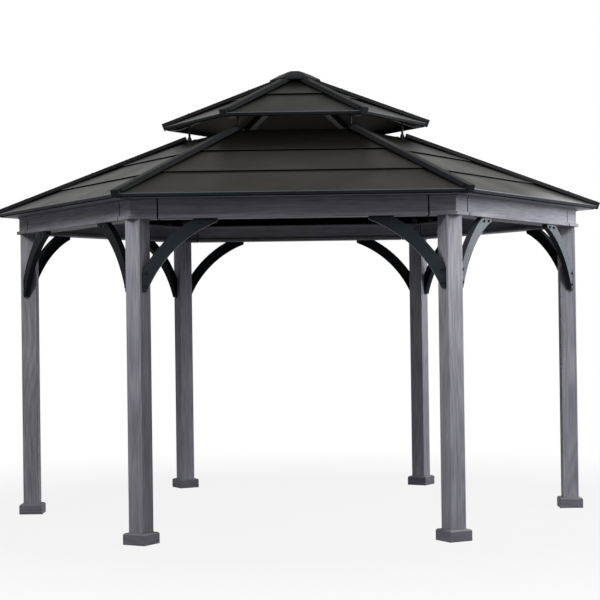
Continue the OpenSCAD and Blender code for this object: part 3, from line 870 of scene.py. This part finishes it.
new_piece(low_trim, "trim_low", "trim_steel", TRIM_FINISHES, "eave_trim")
new_piece(top_trim, "trim_top", "trim_steel", UPPER_TRIM_FINISHES, "upper_trim")


# Hip caps with a hood at each tip, and the screws along them
HIP_FINISHES = [CAP_PAINT, PAINTED_SHADE]
CAP_FOOT_SHADE = 1


def hip_frame(top):
    """Axes of the hip on +X: across the hip, square out of the roof, and down the hip from the apex."""
    across_hip = Vector((0, 1, 0))
    out_of_roof = Vector((math.sin(HIP_TILT), 0, math.cos(HIP_TILT)))
    along_hip = Vector((math.cos(HIP_TILT), 0, -math.sin(HIP_TILT)))
    axes = Matrix((across_hip, out_of_roof, along_hip)).transposed().to_4x4()
    return Matrix.Translation((0, 0, top)) @ axes


def down_hip(radius):
    """Length along the hip that reaches this far from the centre in the plan."""
    return radius / math.cos(HIP_TILT)


def hip_cap(inner, outer):
    """Folded strip between two distances down the hip, with painted shade along its foot on the sheets."""
    fall = HIP_SLOPE * math.tan(HALF_TURN) * math.cos(HIP_TILT)
    foot = CAP_FOOT_HALF
    foot_inside = foot - CAP_T
    top_inside = CAP_TOP_HALF - CAP_T
    line = [(-foot, -fall * foot), (-CAP_TOP_HALF, CAP_RISE),
            (CAP_TOP_HALF, CAP_RISE), (foot, -fall * foot)]
    under = [(foot_inside, -fall * foot_inside), (top_inside, CAP_RISE - CAP_T),
             (-top_inside, CAP_RISE - CAP_T), (-foot_inside, -fall * foot_inside)]
    first = down_hip(inner)
    last = down_hip(outer - HOOD_DEPTH + HOOD_LAP)
    bm = bmesh.new()
    end = bm.faces.new([bm.verts.new((x, y, first)) for x, y in line + under])
    grown = bmesh.ops.extrude_face_region(bm, geom=[end])["geom"]
    bmesh.ops.translate(bm, verts=only_verts(grown), vec=(0, 0, last - first))
    bmesh.ops.recalc_face_normals(bm, faces=bm.faces)
    ridge = [e for e in bm.edges if all(abs(v.co.y - CAP_RISE) < TINY for v in e.verts)]
    bends = [e for e in ridge if abs(e.verts[0].co.z - e.verts[1].co.z) > CAP_FOOT_HALF]
    ease(bm, bends, CAP_BEND, 4)
    # Sides below this level get painted shade where the cap meets the sheets
    bmesh.ops.bisect_plane(bm, geom=whole(bm), dist=TINY, plane_co=(0, CAP_SHADE_LINE, 0),
                           plane_no=(0, 1, 0))
    for face in bm.faces:
        if face.calc_center_median().y < CAP_SHADE_LINE:
            face.material_index = CAP_FOOT_SHADE
    return bm


def hood(bm, outer):
    """Folded end over the tip of the hip: top, nose and two cheeks, open below and behind."""
    low = -HOOD_DROP
    size = Vector((2 * HOOD_HALF, CAP_RISE - low, down_hip(HOOD_DEPTH)))
    place = Matrix.Translation((0, (CAP_RISE + low) / 2, down_hip(outer - HOOD_DEPTH / 2)))
    box = bmesh.new()
    bmesh.ops.create_cube(box, size=1, matrix=place @ Matrix.Diagonal((*size, 1)))
    box.normal_update()
    open_sides = [f for f in box.faces if f.normal.y < -PARTLY or f.normal.z < -PARTLY]
    bmesh.ops.delete(box, geom=open_sides, context="FACES_ONLY")
    ease(box, [e for e in box.edges if len(e.link_faces) == 2], HOOD_BEND, 3)
    bmesh.ops.solidify(box, geom=box.faces[:], thickness=CAP_T)
    join_in(bm, box)


def capped_hips(top, inner, outer):
    """The six caps of a roof with their hoods, between two distances from the centre."""
    bm = hip_cap(inner, outer)
    hood(bm, outer)
    bmesh.ops.transform(bm, matrix=hip_frame(top), verts=bm.verts)
    all_round(bm)
    return bm


def cap_screws(rows):
    """Washer and domed head of each screw along the hip caps."""
    bm = bmesh.new()
    upright = Matrix.Rotation(-math.pi / 2, 4, "X")
    washer = (SCREW_WASHER_R, SCREW_WASHER_TOP_R, 0, SCREW_WASHER_T)
    head = (SCREW_R, SCREW_TOP_R, SCREW_WASHER_T, SCREW_H)
    for top, places in rows:
        for radius in places:
            for wide, narrow, start, height in (washer, head):
                middle = Vector((0, CAP_RISE + start + height / 2, down_hip(radius)))
                place = hip_frame(top) @ Matrix.Translation(middle) @ upright
                bmesh.ops.create_cone(bm, cap_ends=True, segments=SCREW_STEPS, radius1=wide,
                                      radius2=narrow, depth=height, matrix=place)
    all_round(bm)
    return bm


hips = capped_hips(APEX_Z, OPENING_R, EAVE_A / ACROSS)
upper_hips = capped_hips(UPPER_APEX_Z, UPPER_END_A / ACROSS, UPPER_EAVE_A / ACROSS)
screws = cap_screws(((APEX_Z, CAP_SCREWS), (UPPER_APEX_Z, UPPER_CAP_SCREWS)))
new_piece(hips, "hip_cover", "trim_steel", HIP_FINISHES, "hip_caps")
new_piece(upper_hips, "upper_hip_cover", "trim_steel", HIP_FINISHES, "upper_hip_caps")
new_piece(screws, "cap_screws", "trim_steel", [BOLT_BLACK])


# Finial and stanchions
def finial():
    """Pressed six-sided cap: upright rim, domed sides and a flat top."""
    rim_z = FINIAL_Z + FINIAL_RIM
    top_z = FINIAL_Z + FINIAL_H
    dome_z = rim_z + (FINIAL_H - FINIAL_RIM) * FINIAL_DOME
    dome_r = (FINIAL_R + FINIAL_TOP_R) / 2
    line = [(FINIAL_R, FINIAL_Z), (FINIAL_R, rim_z), (dome_r, dome_z), (FINIAL_TOP_R, top_z)]
    bm = revolved(line, 0, SIDES)
    crown = [e for e in bm.edges if all(abs(v.co.z - top_z) < SAME for v in e.verts)]
    bmesh.ops.edgeloop_fill(bm, edges=crown)
    bmesh.ops.recalc_face_normals(bm, faces=bm.faces)
    ease(bm, corner_edges(bm, 8), FINIAL_EASE, 3)
    bmesh.ops.solidify(bm, geom=bm.faces[:], thickness=FINIAL_T)
    return bm


def stanchions():
    """Thin rods at the hips that hold the upper roof above the opening, cut to the slopes at both ends."""
    foot_z = APEX_Z - HIP_SLOPE * STANCHION_R - RAFTER_DROP
    head_z = UPPER_APEX_Z - HIP_SLOPE * STANCHION_R - RAFTER_DROP - STANCHION_HEAD_DROP
    foot_r = STANCHION_FOOT_D / 2
    rod_r = STANCHION_D / 2
    line = [(0, foot_z - STANCHION_SPARE), (foot_r, foot_z - STANCHION_SPARE),
            (foot_r, foot_z + STANCHION_FOOT_EDGE), (rod_r, foot_z + STANCHION_FOOT_END),
            (rod_r, head_z + STANCHION_SPARE), (0, head_z + STANCHION_SPARE)]
    bm = revolved(line, STANCHION_R, STANCHION_STEPS)
    bmesh.ops.recalc_face_normals(bm, faces=bm.faces)
    cut(bm, (STANCHION_R, 0, foot_z), (-HIP_SLOPE, 0, -1))
    cut(bm, (STANCHION_R, 0, head_z), (HIP_SLOPE, 0, 1))
    all_round(bm)
    return bm


new_piece(finial(), "finial", "trim_steel", [CAP_PAINT], "finial_cap")
new_piece(stanchions(), "vent_stanchions", "frame_steel", [FRAME_COAT], "stanchions")

# Steel under the roof keeps the shape of its solids
for node in ("hip_rafters", "opening_bars", "hub", "upper_rafters"):
    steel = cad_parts[node]
    steel.data.materials.clear()
    steel.data.materials.append(FRAME_COAT)


# Light, background and floor
def softbox(name, place, target, size, power, colour=(1, 1, 1)):
    """Round soft lamp that looks from its place towards a target."""
    data = bpy.data.lights.new(name, "AREA")
    data.color = colour
    data.shape = "DISK"
    data.size = size
    data.energy = power
    lamp = bpy.data.objects.new(name, data)
    lamp.location = place
    lamp.rotation_euler = (Vector(target) - Vector(place)).to_track_quat("-Z", "Y").to_euler()
    bpy.context.collection.objects.link(lamp)
    return lamp


def flag(lamp, state, *pieces):
    """Keeps a lamp off these pieces ("EXCLUDE"), or on them alone ("INCLUDE"), as a studio flag does."""
    group = bpy.data.collections.new(f"{lamp.name}_flag")
    for piece in pieces:
        group.objects.link(bpy.data.objects[piece])
    lamp.light_linking.receiver_collection = group
    for item in group.collection_objects:
        item.light_linking.link_state = state


left = softbox("left_softbox", place=(-3.6, -4.4, 5.0), target=(-0.8, -1.2, 1.5), size=1.9, power=218)
softbox("front_softbox", place=(3.0, -7.0, 4.0), target=(0.5, -1.2, 1.5), size=2.5, power=18)
back = softbox("back_softbox", place=(3.2, 4.2, 2.6), target=(0.9, 0.6, 1.7), size=2.0, power=95)
beside = softbox("side_softbox", place=(4.9, -0.1, 2.75), target=(0.9, -0.4, 1.9), size=1.5, power=142,
                 colour=(0.96, 0.97, 1.0))
right = softbox("right_softbox", place=(3.2, -3.0, 4.6), target=(0.9, -1.2, 1.4), size=1.7, power=215)
right_outer = softbox("right_outer_softbox", place=(5.0, -3.6, 4.2), target=(0.9, -1.2, 1.4), size=1.8,
                      power=62)
glint = softbox("brace_softbox", place=(4.4, 0.75, 2.0), target=(1.5, -0.9, 1.9), size=1.7, power=190,
                colour=(0.88, 0.95, 1.0))
bounce = softbox("ground_softbox", place=(0.0, -0.6, 0.03), target=(0.0, -0.6, 2.0), size=1.6, power=8)
bounce.visible_camera = False
BACK_BEAMS = ("ring_beam_3", "ring_beam_4", "ring_beam_5", "corner_block_2", "corner_block_3")
SHADED_SHEETS = ("sheet_top", "upper_sheet_low", "upper_sheet_top")
flag(left, "EXCLUDE", "knee_braces_6", "sheet_top")
flag(back, "EXCLUDE", "ring_beam_5", "corner_block_3", "corner_block_4")
flag(beside, "EXCLUDE", "timber_post_5", *BACK_BEAMS)
flag(right, "EXCLUDE", "timber_post_5", "collar_5", *SHADED_SHEETS, *BACK_BEAMS)
flag(right_outer, "EXCLUDE", "timber_post_1", *BACK_BEAMS)
flag(glint, "INCLUDE", "knee_braces_2")
flag(bounce, "INCLUDE", "timber_post_2", "timber_post_3", "ring_beam_4")

# Level of the even fill, and the floor: its size, its tones, and where its shadowed middle fades to white
WORLD_FILL = 0.33
WHITE = (1, 1, 1, 1)
FLOOR_SIZE = 40
FLOOR_DARK = (0.13, 0.13, 0.13)
FLOOR_PALE = (0.15, 0.15, 0.15)
FLOOR_SPECK = (0.6, 0.6, 0.6)
FLOOR_ROUGH = 0.9
FADE_START = 2.6
FADE_END = 5.5
FADE_LOW = 0.88
MIRROR_RAYS = ("Is Glossy Ray", "Is Transmission Ray")


def studio_world():
    """White where the camera, a reflection or glass looks at it; a low even fill for the rest."""
    world = bpy.data.worlds.new("studio")
    bpy.context.scene.world = world
    world.use_nodes = True
    nodes = world.node_tree.nodes
    links = world.node_tree.links
    rays = nodes.new("ShaderNodeLightPath")
    level = nodes.new("ShaderNodeMapRange")
    level.inputs["To Min"].default_value = WORLD_FILL
    seen = rays.outputs["Is Camera Ray"]
    for kind in MIRROR_RAYS:
        either = nodes.new("ShaderNodeMath")
        either.operation = "MAXIMUM"
        links.new(seen, either.inputs[0])
        links.new(rays.outputs[kind], either.inputs[1])
        seen = either.outputs["Value"]
    links.new(seen, level.inputs["Value"])
    links.new(level.outputs["Result"], nodes["Background"].inputs["Strength"])
    nodes["Background"].inputs["Color"].default_value = WHITE


def pale_floor():
    """Plain floor that fades into the white background and keeps the soft shadow of the gazebo."""
    bm = bmesh.new()
    bmesh.ops.create_grid(bm, x_segments=1, y_segments=1, size=FLOOR_SIZE)
    mesh = bpy.data.meshes.new("floor")
    bm.to_mesh(mesh)
    bm.free()
    floor = bpy.data.objects.new("floor", mesh)
    bpy.context.collection.objects.link(floor)
    finish = Finish("floor_paint")
    speck = finish.noise(finish.mapping(figure=FLOOR_SPECK))
    finish.colour(finish.ramp(speck, ((0.0, FLOOR_DARK), (1.0, FLOOR_PALE))))
    away = finish.nodes.new("ShaderNodeVectorMath")
    away.operation = "LENGTH"
    finish.links.new(finish.mapping(), away.inputs[0])
    far = finish.stretch(away.outputs["Value"], FADE_START, FADE_END, FADE_LOW, 1.0)
    finish.shader.inputs["Roughness"].default_value = FLOOR_ROUGH
    finish.gloss(0.0)
    white = finish.nodes.new("ShaderNodeEmission")
    white.inputs["Color"].default_value = WHITE
    rays = finish.nodes.new("ShaderNodeLightPath")
    seen = rays.outputs["Is Camera Ray"]
    for kind in MIRROR_RAYS:
        seen = finish.reckon("MAXIMUM", seen, rays.outputs[kind])
    share = finish.reckon("MULTIPLY", seen, far)
    blend = finish.nodes.new("ShaderNodeMixShader")
    finish.links.new(share, blend.inputs["Fac"])
    finish.links.new(finish.shader.outputs["BSDF"], blend.inputs[1])
    finish.links.new(white.outputs["Emission"], blend.inputs[2])
    finish.links.new(blend.outputs["Shader"], finish.nodes["Material Output"].inputs["Surface"])
    mesh.materials.append(finish.material)


studio_world()
pale_floor()
bpy.context.scene.view_settings.view_transform = "Standard"
